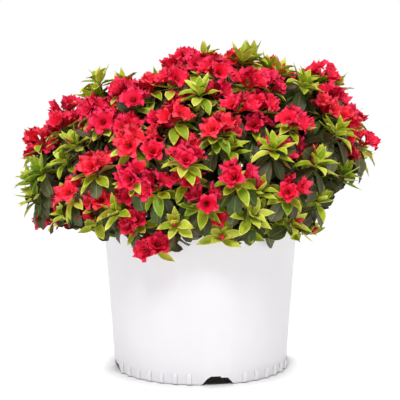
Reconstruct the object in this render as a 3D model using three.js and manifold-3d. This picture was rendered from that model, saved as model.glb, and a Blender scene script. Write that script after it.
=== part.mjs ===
// An azalea in bloom, in its nursery pot. Millimetres, +Z up.
// The origin is the middle of the pot's flat underside, and the plant's front faces -Y.
import * as THREE from "three";
import { mergeVertices } from "three/addons/utils/BufferGeometryUtils.js";
import Module from "manifold-3d";

const wasm = await Module();
wasm.setup();

// ---------------------------------------------------------------- driving dimensions

// A thin-walled nursery pot of about 7.5 litres.
const pot = {
  height: 205,
  footRadius: 101.7, // outer radius just above the rounded bottom edge
  wallTopRadius: 115.7, // outer radius right under the lip
  lipRadius: 120,
  lipHeight: 10,
  wall: 1.8,
  floor: 3,
  edgeRound: 1.5,
  sides: 54,
};

// Drain notches through the bottom edge, one in each quarter.
const notch = { count: 4, firstAzimuth: 281, height: 11, footWidth: 38, topWidth: 17, depth: 22 };

// Short stiffening ribs that stand round the foot between the notches.
const rib = { perQuarter: 6, pitch: 11.25, width: 3.6, height: 14, shoulder: 9, proud: 1.2, sunk: 1.1 };

const clearance = 0.3; // the gap between pieces that touch
const shortestEdge = 0.15; // edges that a union leaves shorter than this are taken out
const weldDistance = 0.001; // and vertices nearer than this become one

// Potting mix: a truncated cone that fills the pot to a little under the lip.
const soil = { top: 188, domeRise: 3, flatRadius: 30, sides: 27 };

// The short woody stem that the limbs leave from, with its root flare.
const stem = { flareRadius: 17, waistRadius: 11.5, topRadius: 9.5, top: 216, sides: 16 };

const limb = { footRadius: 3.1, tipRadius: 2.3, sides: 6, steps: 4, share: 0.48 };
const twig = { stemRadius: 2.2, footRadius: 1.7, tipRadius: 1.2, sides: 3, steps: 2 };
const leaf = { length: 38, width: 16, thickness: 1.1, fold: 2.2, sunk: 1.6 };
const blossom = { radius: 22, depth: 19, throat: 8, lobes: 5, notchShare: 0.6, sunk: 5 };

// Shoots are spread evenly round the whole crown, down to a lowest angle.
const shoots = { round: 148, lowest: -27, gather: 0.07, firstTurn: 5.13, bloomLeaves: 3, greenLeaves: 4, tries: 4 };
const hubShare = 0.74; // where a mass's own stem ends, as a share of its reach
// The dense inside of a mass: its middle and its outer face as shares of the reach, the slope at which
// its underside comes down over the pot's rim, its lumps as a share of its size, and its own leaves.
const core = { middle: 0.7, outer: 0.92, margin: 2, longest: 68, overRim: 6, droop: 1, lumps: 0.08, leaves: 2 };
const potGap = 2.2; // foliage keeps this far from the pot
const spaceMargin = 0.5; // and this far from the planes between two masses

// The masses of foliage round the heart of the plant. Azimuth 0 is the right side, 90 the back, 270 the
// front. Rise is the angle above level. Reach is from the heart to the shoot tips, under the share of it
// that is left 30 degrees lower, and bloom the share of shoots in flower.
const heart = new THREE.Vector3(0, 0, pot.height + 20);
const masses = [
  { name: "right", azimuth: 0, rise: 11, reach: 206, under: 0.7, bloom: 0.5 },
  { name: "back_right", azimuth: 45, rise: 1, reach: 184, under: 0.85, bloom: 0.5 },
  { name: "back", azimuth: 90, rise: -2, reach: 174, under: 0.9, bloom: 0.6 },
  { name: "back_left", azimuth: 135, rise: -1, reach: 182, under: 0.9, bloom: 0.5 },
  { name: "left", azimuth: 180, rise: 3, reach: 199, under: 0.95, bloom: 0.6 },
  { name: "front_left", azimuth: 225, rise: -4, reach: 180, under: 0.88, bloom: 0.6 },
  { name: "front", azimuth: 270, rise: -6, reach: 162, under: 0.9, bloom: 0.7 },
  { name: "front_right", azimuth: 315, rise: -3, reach: 170, under: 0.85, bloom: 0.4 },
  { name: "upper_right", azimuth: 352, rise: 41, reach: 182, under: 1, bloom: 0.5 },
  { name: "upper_back_right", azimuth: 62, rise: 38, reach: 162, under: 1, bloom: 0.7 },
  { name: "upper_back_left", azimuth: 134, rise: 35, reach: 150, under: 1.05, bloom: 0.6 },
  { name: "upper_left", azimuth: 206, rise: 33, reach: 150, under: 1.1, bloom: 0.9 },
  { name: "upper_front", azimuth: 278, rise: 36, reach: 150, under: 1, bloom: 0.7 },
  { name: "top", azimuth: 10, rise: 78, reach: 140, under: 1, bloom: 0.7 },
];
const reachSharpness = 18; // how quickly one mass's reach gives way to the next one's

const colours = {
  pot: { color: 0xf3f2f5, roughness: 0.38, metalness: 0 },
  soil: { color: 0x3a2a20, roughness: 0.95, metalness: 0 },
  bark: { color: 0x6b5242, roughness: 0.85, metalness: 0 },
  foliage: { color: 0x5f7a2c, roughness: 0.6, metalness: 0 },
};

// ---------------------------------------------------------------- small helpers

const radians = THREE.MathUtils.degToRad;
const goldenAngle = Math.PI * (3 - Math.sqrt(5));
const up = new THREE.Vector3(0, 0, 1);

// A repeatable stream of numbers from 0 to 1.
function seeded(seed) {
  let state = Math.imul(seed + 1, 2654435761) >>> 0;
  return () => {
    state = (Math.imul(state, 1664525) + 1013904223) >>> 0;
    return state / 2 ** 32;
  };
}

function heading(azimuth, rise) {
  const level = Math.cos(radians(rise));
  return new THREE.Vector3(
    level * Math.cos(radians(azimuth)),
    level * Math.sin(radians(azimuth)),
    Math.sin(radians(rise)),
  );
}

// Two unit vectors across a direction.
function across(direction) {
  const other = Math.abs(direction.z) < 0.9 ? up : new THREE.Vector3(1, 0, 0);
  const side = new THREE.Vector3().crossVectors(other, direction).normalize();
  return [side, new THREE.Vector3().crossVectors(direction, side)];
}

// The direction that leans away from an axis by an angle, turned round the axis.
function leaning(axis, lean, turn) {
  const [side, front] = across(axis);
  return axis
    .clone()
    .multiplyScalar(Math.cos(lean))
    .addScaledVector(side, Math.sin(lean) * Math.cos(turn))
    .addScaledVector(front, Math.sin(lean) * Math.sin(turn));
}

// A geometry of positions only, with vertices closer than a distance merged and collapsed faces dropped.
function welded(position, index, distance) {
  const bare = new THREE.BufferGeometry();
  bare.setAttribute("position", position);
  bare.setIndex(index);
  const merged = mergeVertices(bare, distance);
  const corners = merged.getIndex().array;
  const kept = [];
  for (let i = 0; i < corners.length; i += 3) {
    const [a, b, c] = [corners[i], corners[i + 1], corners[i + 2]];
    if (a !== b && b !== c && a !== c) kept.push(a, b, c);
  }
  return merged.setIndex(kept);
}

// A closed three.js geometry as a solid.
function solidOf(geometry) {
  const closed = welded(geometry.getAttribute("position"), geometry.getIndex(), 1e-4);
  return new wasm.Manifold(
    new wasm.Mesh({
      numProp: 3,
      vertProperties: closed.getAttribute("position").array,
      triVerts: new Uint32Array(closed.getIndex().array),
    }),
  );
}

function geometryOf(solid) {
  const { vertProperties, triVerts } = solid.getMesh();
  const position = new THREE.BufferAttribute(vertProperties, 3);
  const geometry = welded(position, new THREE.BufferAttribute(triVerts, 1), weldDistance);
  geometry.computeVertexNormals();
  return geometry;
}

// Joins closed geometries pairwise, which keeps each union small.
function joined(geometries) {
  let solids = geometries.map(solidOf);
  while (solids.length > 1) {
    const next = [];
    for (let i = 0; i < solids.length; i += 2)
      next.push(i + 1 < solids.length ? solids[i].add(solids[i + 1]).simplify(shortestEdge) : solids[i]);
    solids = next;
  }
  return solids[0];
}

// The largest body of a solid: loose scraps and sealed hollows are left behind.
function largestBody(solid) {
  return solid.decompose().reduce((best, body) => (body.volume() > best.volume() ? body : best));
}

// A closed limb that tapers along a curve: a cylinder bent onto it.
function taperedLimb(curve, footRadius, tipRadius, sides, steps, turn = 0) {
  const geometry = new THREE.CylinderGeometry(tipRadius, footRadius, 1, sides, steps).rotateY(turn);
  const { normals, binormals } = curve.computeFrenetFrames(steps, false);
  const position = geometry.getAttribute("position");
  for (let i = 0; i < position.count; i++) {
    const step = Math.round((position.getY(i) + 0.5) * steps);
    const point = curve
      .getPointAt(step / steps)
      .addScaledVector(binormals[step], position.getX(i))
      .addScaledVector(normals[step], position.getZ(i));
    position.setXYZ(i, point.x, point.y, point.z);
  }
  return geometry;
}

// A curve that leaves one point in one direction and reaches another in another.
function bend(from, leave, to, arrive, pull = 0.36) {
  const length = from.distanceTo(to) * pull;
  return new THREE.CubicBezierCurve3(
    from.clone(),
    from.clone().addScaledVector(leave, length),
    to.clone().addScaledVector(arrive, -length),
    to.clone(),
  );
}

// Places a geometry made along +Z at a point, facing a direction and turned about it.
function placed(geometry, point, direction, turn = 0) {
  const aim = new THREE.Quaternion().setFromUnitVectors(up, direction);
  const spin = new THREE.Quaternion().setFromAxisAngle(up, turn);
  return geometry
    .applyQuaternion(aim.multiply(spin))
    .translate(point.x, point.y, point.z);
}

// ---------------------------------------------------------------- pot, soil and stem

// The pot's outer radius at a height.
function potRadius(z) {
  if (z > pot.height - pot.lipHeight - 1) return pot.lipRadius;
  const share = THREE.MathUtils.clamp(z / (pot.height - pot.lipHeight), 0, 1);
  return pot.footRadius + share * (pot.wallTopRadius - pot.footRadius);
}

function turned(profile, sides) {
  const points = profile.map(([radius, z]) => new THREE.Vector2(radius, z));
  return new THREE.LatheGeometry(points, sides).rotateX(Math.PI / 2);
}

function drainNotch(azimuth) {
  const outline = new THREE.Shape([
    new THREE.Vector2(-notch.footWidth / 2, -1),
    new THREE.Vector2(notch.footWidth / 2, -1),
    new THREE.Vector2(notch.topWidth / 2, notch.height),
    new THREE.Vector2(-notch.topWidth / 2, notch.height),
  ]);
  const reach = pot.footRadius + 5;
  return new THREE.ExtrudeGeometry(outline, { depth: notch.depth, bevelEnabled: false })
    .rotateX(Math.PI / 2)
    .translate(0, reach, 0)
    .rotateZ(radians(azimuth - 90));
}

function footRib(azimuth) {
  const low = 0.8;
  const section = new THREE.Shape([
    new THREE.Vector2(potRadius(low) - rib.sunk, low),
    new THREE.Vector2(potRadius(low) + rib.proud, low),
    new THREE.Vector2(potRadius(rib.shoulder) + rib.proud, rib.shoulder),
    new THREE.Vector2(potRadius(rib.height) - 0.4, rib.height),
    new THREE.Vector2(potRadius(rib.height) - rib.sunk, rib.height),
  ]);
  return new THREE.ExtrudeGeometry(section, { depth: rib.width, bevelEnabled: false })
    .translate(0, 0, -rib.width / 2)
    .rotateX(Math.PI / 2)
    .rotateZ(radians(azimuth));
}

function makePot() {
  const { height, footRadius, wallTopRadius, lipRadius, lipHeight, wall, floor, edgeRound } = pot;
  const underLip = height - lipHeight;
  const shell = turned(
    [
      [0, 0],
      [footRadius - edgeRound, 0],
      [footRadius, edgeRound],
      [wallTopRadius, underLip],
      [lipRadius, underLip + 2],
      [lipRadius, height - 1],
      [lipRadius - 1, height],
      [lipRadius - 3, height],
      [wallTopRadius - wall, underLip + 1.5],
      [footRadius - wall, floor],
      [0, floor],
    ],
    pot.sides,
  );
  let solid = solidOf(shell);
  for (let quarter = 0; quarter < notch.count; quarter++) {
    const azimuth = notch.firstAzimuth + (quarter * 360) / notch.count;
    for (let i = 0; i < rib.perQuarter; i++) {
      const beside = (i + 1.5) * rib.pitch;
      solid = solid.add(solidOf(footRib(azimuth + beside)));
    }
    solid = solid.subtract(solidOf(drainNotch(azimuth)));
  }
  return geometryOf(solid);
}

function makeSoil() {
  const innerRadius = (z) => potRadius(z) - pot.wall - clearance;
  const low = pot.floor + clearance;
  return turned(
    [
      [0, low],
      [innerRadius(low) - 0.2, low],
      [innerRadius(soil.top) - 0.4, soil.top - soil.domeRise],
      [soil.flatRadius, soil.top],
      [0, soil.top],
    ],
    soil.sides,
  );
}

// The stem's outline, grown by a gap where limbs are cut to meet it.
function stemBody(grown = 0) {
  const foot = soil.top + clearance;
  return turned(
    [
      [0, foot - grown],
      [stem.flareRadius + grown, foot - grown],
      [stem.waistRadius + grown, foot + 7],
      [stem.topRadius + grown, foot + 16],
      [stem.topRadius * 0.85 + grown, stem.top - 4],
      [0, stem.top + grown],
    ],
    stem.sides,
  );
}

// ---------------------------------------------------------------- the growth rule

for (const [index, mass] of masses.entries()) {
  mass.axis = heading(mass.azimuth, mass.rise);
  mass.seed = 40 + 3 * index;
  mass.foot = heart.clone().addScaledVector(mass.axis, mass.reach * limb.share);
  mass.middle = heart.clone().addScaledVector(mass.axis, mass.reach);
}

// How far the shoot tips stand from the heart in a direction: a blend of the masses' reaches.
function reachAlong(direction) {
  const rise = THREE.MathUtils.radToDeg(Math.asin(THREE.MathUtils.clamp(direction.z, -1, 1)));
  let sum = 0;
  let weights = 0;
  for (const mass of masses) {
    const below = THREE.MathUtils.clamp((mass.rise - rise) / 30, 0, 1.2);
    const weight = Math.exp(reachSharpness * (direction.dot(mass.axis) - 1));
    sum += weight * mass.reach * (1 - (1 - mass.under) * below);
    weights += weight;
  }
  return sum / weights;
}

// Whether a point lies in a mass's own space: nearer to its middle than to any other mass's, outside
// the ball that holds the limbs, and clear of the pot.
function inSpace(mass, point, margin) {
  if (point.distanceTo(heart) < mass.reach * limb.share + margin - 1) return false;
  const radius = Math.hypot(point.x, point.y);
  if (point.z < pot.height + potGap + margin && radius < potRadius(point.z) + potGap + margin)
    return false;
  return masses.every((other) => {
    if (other === mass) return true;
    const apart = other.axis.clone().sub(mass.axis);
    const beyond = point.clone().sub(heart).dot(apart) / apart.length();
    return beyond < -margin;
  });
}

// The shoot tips of one mass: those of a sunflower spiral round the whole crown that lie in its space,
// gathered a little towards its middle.
function shootTips(mass) {
  const draw = seeded(mass.seed);
  const tips = [];
  for (let i = 0; i < shoots.round; i++) {
    const height = 1 - (2 * i + 1) / shoots.round;
    const level = Math.sqrt(1 - height * height);
    const turn = i * goldenAngle + shoots.firstTurn;
    const direction = new THREE.Vector3(level * Math.cos(turn), level * Math.sin(turn), height);
    const nearest = masses.reduce((a, b) => (direction.dot(b.axis) > direction.dot(a.axis) ? b : a));
    if (nearest !== mass || height < Math.sin(radians(shoots.lowest))) continue;
    direction.lerp(mass.axis, shoots.gather).normalize();
    const sideways = new THREE.Vector3(draw() - 0.5, draw() - 0.5, draw() - 0.5);
    tips.push({
      point: heart.clone().addScaledVector(direction, reachAlong(direction) * (1.03 - 0.08 * draw())),
      facing: direction.addScaledVector(up, 0.35).addScaledVector(sideways, 0.5).normalize(),
      blooms: draw() < mass.bloom,
    });
  }
  return tips;
}

// The mass's stem, and a twig to each tip from whichever node on the wood so far suits it best: a near
// one that already points its way. A twig that would leave the mass's space runs straight from the stem.
function growTwigs(mass) {
  const hub = heart.clone().addScaledVector(mass.axis, mass.reach * hubShare);
  const draw = seeded(mass.seed + 500);
  const woods = [
    { curve: new THREE.LineCurve3(mass.foot, hub), from: twig.stemRadius, to: twig.footRadius, turn: 0 },
  ];
  const nodes = [0.5, 0.75, 0.97].map((share) => ({
    point: mass.foot.clone().lerp(hub, share),
    direction: mass.axis,
  }));
  const tips = [];
  for (const tip of shootTips(mass)) {
    const best = nodes
      .map((node) => {
        const way = tip.point.clone().sub(node.point);
        const length = way.length();
        const turnAway = 1 - way.normalize().dot(node.direction);
        return { node, cost: length * (1 + 1.2 * turnAway) + (length < 24 ? 1000 : 0) };
      })
      .reduce((a, b) => (b.cost < a.cost ? b : a)).node;
    const start = best.point.clone().addScaledVector(best.direction, -0.3 - draw());
    const curves = [
      bend(start, best.direction, tip.point, tip.facing),
      new THREE.LineCurve3(hub.clone().addScaledVector(mass.axis, -1 - draw()), tip.point),
    ];
    const turn = 2 + draw();
    const margin = twig.footRadius + spaceMargin;
    const curve = curves.find((way) => way.getSpacedPoints(8).every((point) => inSpace(mass, point, margin)));
    if (!curve) continue;
    woods.push({ curve, from: twig.footRadius, to: twig.tipRadius, turn });
    for (const share of [0.45, 0.7])
      nodes.push({ point: curve.getPointAt(share), direction: curve.getTangentAt(share) });
    tips.push(tip);
  }
  return { woods, tips };
}

// ---------------------------------------------------------------- leaves and blossom

// A leaf of eight faces, from its root at the origin along +Z, folded up along its midrib towards +Y.
function leafBlade(length, width) {
  const geometry = new THREE.OctahedronGeometry(1);
  const position = geometry.getAttribute("position");
  for (let i = 0; i < position.count; i++) {
    const [x, y, z] = [position.getX(i), position.getY(i), position.getZ(i)];
    const widest = 0.54;
    const along = z === 0 ? widest : (z + 1) / 2;
    const fold = Math.abs(x) * leaf.fold - leaf.fold / 2;
    position.setXYZ(i, (x * width) / 2, (y * leaf.thickness) / 2 + fold, along * length);
  }
  return geometry;
}

// A blossom from the foot of its tube at the origin, opening along +Z: a funnel with five blunt lobes.
function blossomCup(size) {
  const profile = [
    new THREE.Vector2(0, 0),
    new THREE.Vector2(blossom.radius * size, blossom.depth * size),
    new THREE.Vector2(0, blossom.throat),
  ];
  const geometry = new THREE.LatheGeometry(profile, blossom.lobes * 3).rotateX(Math.PI / 2);
  const position = geometry.getAttribute("position");
  for (let i = 0; i < position.count; i++) {
    const [x, y, z] = [position.getX(i), position.getY(i), position.getZ(i)];
    if (Math.hypot(x, y) < 1) continue;
    // The rim's points come in threes: the notch between two lobes, then the two corners of a lobe.
    const notched = Math.cos(blossom.lobes * Math.atan2(x, -y)) > 0.9;
    const scale = notched ? blossom.notchShare : 1;
    position.setXYZ(i, x * scale, y * scale, notched ? z - 2 : z + 1);
  }
  return geometry;
}

// Every corner of a geometry, and the middle of every edge.
function edgePoints(geometry) {
  const position = geometry.getAttribute("position");
  const order = geometry.getIndex()?.array ?? Array.from({ length: position.count }, (_, i) => i);
  const points = [];
  for (let i = 0; i < order.length; i += 3) {
    const corners = [0, 1, 2].map((k) => new THREE.Vector3().fromBufferAttribute(position, order[i + k]));
    corners.forEach((corner, k) => points.push(corner, corner.clone().lerp(corners[(k + 1) % 3], 0.5)));
  }
  return points;
}

// The leaves and any blossom of one shoot. Each is tried a few ways round, and skipped where it would
// still leave the mass's space.
function dressShoot(mass, tip, seed) {
  const draw = seeded(seed);
  const pieces = [];
  const firstThatFits = (make) => {
    for (let attempt = 0; attempt < shoots.tries; attempt++) {
      const geometry = make(attempt);
      if (edgePoints(geometry).every((point) => inSpace(mass, point, spaceMargin))) {
        pieces.push(geometry);
        return;
      }
    }
  };
  if (tip.blooms) {
    const nod = leaning(tip.facing, radians(18) * draw(), 2 * Math.PI * draw());
    const turn = draw();
    firstThatFits((attempt) => {
      const facing = nod.clone().lerp(mass.axis, attempt * 0.3).normalize();
      const foot = tip.point.clone().addScaledVector(facing, -blossom.sunk);
      return placed(blossomCup(1 - 0.06 * attempt), foot, facing, turn);
    });
  }
  const count = tip.blooms ? shoots.bloomLeaves : shoots.greenLeaves;
  for (let i = 0; i < count; i++) {
    const turn = (i * 2 * Math.PI) / count + mass.seed + 0.6 * draw();
    const lean = radians(tip.blooms ? 82 : 46 + 11 * i) + 0.25 * draw();
    const size = 0.88 + 0.25 * draw();
    firstThatFits((attempt) => {
      const outward = leaning(tip.facing, lean, turn + 0.7 * attempt);
      const root = tip.point.clone().addScaledVector(tip.facing, -1.5 - 1.6 * i - (tip.blooms ? 3 : 0));
      root.addScaledVector(outward, -leaf.sunk);
      // The blade's upper side turns towards the shoot's own direction.
      const side = new THREE.Vector3().crossVectors(tip.facing, outward).normalize();
      const upper = new THREE.Vector3().crossVectors(outward, side);
      const frame = new THREE.Matrix4().makeBasis(side, upper, outward).setPosition(root);
      return leafBlade(leaf.length * size, leaf.width * size).applyMatrix4(frame);
    });
  }
  return pieces;
}

// The middle of a mass's core, and how far the core reaches from there in a direction.
function coreMiddle(mass) {
  return heart.clone().addScaledVector(mass.axis, mass.reach * core.middle);
}

function coreReach(mass, direction) {
  const middle = coreMiddle(mass);
  const fits = (point) => {
    const arm = point.clone().sub(heart);
    const distance = arm.length();
    // It leans over the pot's rim without coming down to it.
    const beyondRim = Math.hypot(point.x, point.y) - pot.lipRadius;
    const overRim = point.z > pot.height + core.overRim - core.droop * beyondRim;
    const shallow = distance < core.outer * reachAlong(arm.normalize());
    return overRim && shallow && inSpace(mass, point, core.margin);
  };
  let [near, far] = [3, core.longest];
  while (far - near > 0.2) {
    const half = (near + far) / 2;
    if (fits(middle.clone().addScaledVector(direction, half))) near = half;
    else far = half;
  }
  return near;
}

// The dense inside of a mass: a lumpy faceted body that fills its space as far as the leaves begin.
function makeCore(mass) {
  const geometry = new THREE.IcosahedronGeometry(1, 1);
  const position = geometry.getAttribute("position");
  for (let i = 0; i < position.count; i++) {
    const direction = new THREE.Vector3().fromBufferAttribute(position, i).normalize();
    const { x, y, z } = direction;
    const lump = Math.sin(11 * x + mass.seed) * Math.cos(9 * y + 7 * z + mass.seed);
    const reach = coreReach(mass, direction) * (1 - core.lumps + core.lumps * lump);
    const point = coreMiddle(mass).addScaledVector(direction, reach);
    position.setXYZ(i, point.x, point.y, point.z);
  }
  return geometry;
}

// Single leaves that stand out of the core's outer side, between the shoots.
function coreLeaves(mass) {
  const draw = seeded(mass.seed + 900);
  const pieces = [];
  for (let i = 0; i < core.leaves; i++) {
    const direction = leaning(mass.axis, radians(30 + (40 * i) / core.leaves), i * goldenAngle + draw());
    const lift = coreReach(mass, direction) * (1 - 2 * core.lumps) - 3;
    const root = coreMiddle(mass).addScaledVector(direction, lift);
    for (let attempt = 0; attempt < shoots.tries; attempt++) {
      const outward = leaning(direction, radians(44) + 0.3 * draw(), 2 * Math.PI * draw());
      const side = new THREE.Vector3().crossVectors(direction, outward).normalize();
      const upper = new THREE.Vector3().crossVectors(outward, side);
      const frame = new THREE.Matrix4().makeBasis(side, upper, outward).setPosition(root);
      const blade = leafBlade(leaf.length * 1.2, leaf.width * 1.1).applyMatrix4(frame);
      if (!edgePoints(blade).every((point) => inSpace(mass, point, spaceMargin))) continue;
      pieces.push(blade);
      break;
    }
  }
  return pieces;
}

// One mass: its stem, core, twigs, leaves and blossom fused into one body.
function makeMass(mass) {
  const { woods, tips } = growTwigs(mass);
  const pieces = woods.map((wood) =>
    taperedLimb(wood.curve, wood.from, wood.to, twig.sides, twig.steps, wood.turn),
  );
  pieces.push(makeCore(mass), ...coreLeaves(mass));
  tips.forEach((tip, i) => pieces.push(...dressShoot(mass, tip, mass.seed * 100 + i)));
  // Welding can pinch off another scrap, so the largest body is taken twice.
  const fused = geometryOf(largestBody(joined(pieces)));
  return geometryOf(largestBody(solidOf(fused)));
}

// ---------------------------------------------------------------- limbs

// The bough that carries a mass: from the stem to just short of the foot of the mass's own stem.
function makeLimb(mass, index) {
  const low = mass.rise < 20;
  const start = new THREE.Vector3(0, 0, low ? 197 + 5 * (index % 2) : 206);
  const leave = heading(mass.azimuth, low ? 32 : mass.rise + 5);
  const end = mass.foot.clone().addScaledVector(mass.axis, -clearance);
  const bough = taperedLimb(bend(start, leave, end, mass.axis), limb.footRadius, limb.tipRadius, limb.sides, limb.steps);
  return geometryOf(largestBody(solidOf(bough).subtract(solidOf(stemBody(clearance)))));
}

// ---------------------------------------------------------------- assembly

const azalea = new THREE.Group();

function addNode(name, geometry, finish) {
  const mesh = new THREE.Mesh(geometry, new THREE.MeshStandardMaterial(finish));
  mesh.name = name;
  azalea.add(mesh);
}

addNode("pot", makePot(), colours.pot);
addNode("soil", makeSoil(), colours.soil);
addNode("stem", stemBody(), colours.bark);
masses.forEach((mass, index) => {
  addNode(`bough_${mass.name}`, makeLimb(mass, index), colours.bark);
  addNode(`foliage_${mass.name}`, makeMass(mass), colours.foliage);
});

export default azalea;
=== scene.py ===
"""An azalea in bloom in its white nursery pot: the dressed model, its stage and its camera.

Sizes are millimetres, and a mesh becomes metres when it is finished. Up is +Z, and the front faces -Y.
Azimuths and rises are degrees: azimuth 0 is the plant's right, 270 its front, and rise 90 is straight up.
"""

from math import asin, atan2, cos, degrees, exp, hypot, pi, radians, sin, sqrt

import bmesh
import bpy
import numpy as np
from mathutils import Matrix, Vector, kdtree, noise


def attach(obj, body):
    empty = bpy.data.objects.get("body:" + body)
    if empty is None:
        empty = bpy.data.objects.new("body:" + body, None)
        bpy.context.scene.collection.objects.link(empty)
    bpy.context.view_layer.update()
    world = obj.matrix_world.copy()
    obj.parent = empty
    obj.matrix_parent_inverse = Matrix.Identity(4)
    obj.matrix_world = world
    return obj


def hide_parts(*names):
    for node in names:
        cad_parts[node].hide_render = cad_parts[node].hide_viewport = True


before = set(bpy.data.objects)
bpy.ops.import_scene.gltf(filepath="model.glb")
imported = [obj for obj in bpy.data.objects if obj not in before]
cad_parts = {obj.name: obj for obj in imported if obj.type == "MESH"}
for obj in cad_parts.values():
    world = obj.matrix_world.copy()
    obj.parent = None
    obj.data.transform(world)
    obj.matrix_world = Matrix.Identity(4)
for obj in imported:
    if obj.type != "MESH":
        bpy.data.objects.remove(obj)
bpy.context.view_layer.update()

MM = 0.001
UP = Vector((0, 0, 1))
GOLDEN_ANGLE = pi * (3 - sqrt(5))

# -------------------- sizes

POT_HEIGHT = 205
POT_FOOT_RADIUS = 101.7
POT_WALL_TOP_RADIUS = 115.7
POT_LIP_RADIUS = 120
POT_LIP_HEIGHT = 10
POT_WALL = 1.8
POT_FLOOR = 3
POT_SIDES = 216

# The drain notches: their azimuths, the last a little off its quarter turn, how deep they are cut, how far
# outside the foot their cutter starts, and their outline as distance across and height.
NOTCHES = (281, 11, 101, 195)
NOTCH_DEPTH = 22
NOTCH_START = 6
NOTCH_OUTLINE = [
    (-18.6, -2), (18.6, -2), (17.6, 1.4), (13, 6.4), (11, 8.4), (3.6, 8.8), (2.6, 10.4), (-8, 10.4),
    (-12.4, 7.6), (-17.6, 1.4),
]

# The mix that shows in a notch: its width, the heights of its edges, and how far the lower one arches up.
PLUG_WIDTH = 36
PLUG_LOW = 1.2
PLUG_HIGH = 9.8
PLUG_ARCH = 3.6

# Ribs round the foot, a few in each quarter. The pitch is in degrees.
RIBS_PER_QUARTER = 7
RIB_PITCH = 9
RIB_LOW = 1.5
RIB_WIDTH = 5.6
RIB_HEIGHT = 14
RIB_SHOULDER = 9
RIB_PROUD = 2.1

# The mix: the height of its middle, how far it falls to the wall, and its gap to the pot. The chips on it:
# how many there are, and how far from the axis.
SOIL_TOP = 188
SOIL_DOME = 3
CLEARANCE = 0.3
CHIPS = 430
CHIPS_FROM = 19
CHIPS_TO = 107

# Radius and height up the stem, from its flat cut to its rounded top.
STEM_PROFILE = [
    (17, 188.3), (14.2, 191), (11.5, 195.3), (10.2, 200), (9.5, 204.3), (8.6, 209), (8.0, 212), (5.5, 215),
    (0, 216),
]

# Boughs lead from the stem to the foot of each mass, whose own stem goes on to its hub. Both places are
# shares of the mass's reach, and radii are those at a limb's foot and tip.
LIMB_RADII = (3.1, 2.3)
LIMB_SHARE = 0.48
HUB_SHARE = 0.74
STEM_RADII = (2.2, 1.7)
TWIG_RADII = (1.7, 1.2)
FINE_TWIG_RADII = (1.15, 0.85)

# The first shoots: how many would go round a whole ball, the lowest rise, how far they gather towards their
# mass's axis, and the spiral's first turn in radians.
SHOOTS_ROUND = 148
SHOOTS_LOWEST = -27
SHOOTS_GATHER = 0.07
SHOOTS_FIRST_TURN = 5.13

# How far their twigs keep from the pot and from the next mass, how sharply one mass's reach gives way to
# the next, and the degrees below its axis at which a mass's lower reach is told.
POT_GAP = 2.2
SPACE_MARGIN = 0.5
REACH_SHARPNESS = 18
UNDER_SPAN = 30

# How far a shoot's end turns up, how deep a twig starts in the wood it leaves, and how short it may be.
UPTURN = 0.35
LONG_UPTURN = 0.6
SUNK = 0.3
SHORTEST_TWIG = 24
SHORTEST_FINE_TWIG = 13

# How far a tip stays above the skirt, and how far a finer shoot's tip and twig stay from the pot.
TIP_OVER_SKIRT = 8
FINE_TIP_OVER_SKIRT = 12
FINE_TIP_TO_POT = 6
FINE_TWIG_TO_POT = 2.5

# The finer shoots between the first ones, the leafy ones inside the crown, and those that hang over the
# pot: how many would go round a whole ball, the spiral's first turn, the shares of the reach they end at,
# how near another tip may be, the lowest and highest rise, their order from the stem, and their seed.
FINER_SHOOTS = [
    (520, 1.9, (0.84, 0.97), 24, (-29, 90), 2, 7001),
    (330, 0.4, (0.58, 0.82), 17, (-18, 90), 3, 7002),
    (420, 2.6, (0.8, 0.93), 15, (-28, 6), 3, 7003),
]

# How low the foliage hangs, every 22.5 degrees round the pot from the right, and how much that wanders.
SKIRT = (166, 170, 166, 164, 158, 160, 156, 154, 158, 164, 170, 136, 160, 158, 154, 160)
SKIRT_WAVE = 12

# Far out to the right the crown's underside rises to this height, between two distances from the axis.
RAISED_SKIRT = 207
RAISED_FROM = 131
RAISED_TO = 147

# How high the crown stands across its width: how far to the right of the pot's axis, and the height there.
CROWN_LINE = [
    (-215, 240), (-200, 274), (-165, 316), (-130, 350), (-95, 342), (-42, 354), (-20, 374),
    (60, 380), (100, 358), (150, 357), (172, 344), (188, 292), (206, 268), (216, 240),
]

# How far a truss stands above its tip, and the shares of its way out that a tip is drawn in to.
TRUSS_HEIGHT = 19
DRAWN_IN = (1, 0.97, 0.94, 0.91, 0.88, 0.85, 0.82, 0.79)

# Shoots that stand out beyond the rest, grown before the finer ones and after them: azimuth, rise, share of
# the reach, in flower or not.
EARLY_LONG_SHOOTS = [
    (184, 43, 1.07, False), (187, -1, 1.0, False), (175, 26, 0.99, True), (190, 50, 0.93, True),
]
LATE_LONG_SHOOTS = [
    (336, 65, 1.0, False), (349, 40, 1.0, True), (351, 34, 1.0, False), (285, 82, 0.98, True),
    (215, 80, 0.96, True), (187, 35, 1.0, False), (182, 13, 0.99, True),
]

# Petals above this height are a piece of their own. A truss and a leaf keep this clear of other blossoms.
UPPER_BLOSSOM = 290
TRUSS_TO_TRUSS = 16
LEAF_TO_BLOSSOM = 10

# A shoot has a full truss where more than this share of the shoots are in flower.
FULL_BLOOM = 0.9

# The most that an old leaf points upwards, as a share of its length.
OLD_LEAF_RISE = 0.15

# All boughs and shoots are aimed from the heart of the plant.
HEART = Vector((0, 0, POT_HEIGHT + 20))

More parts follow.
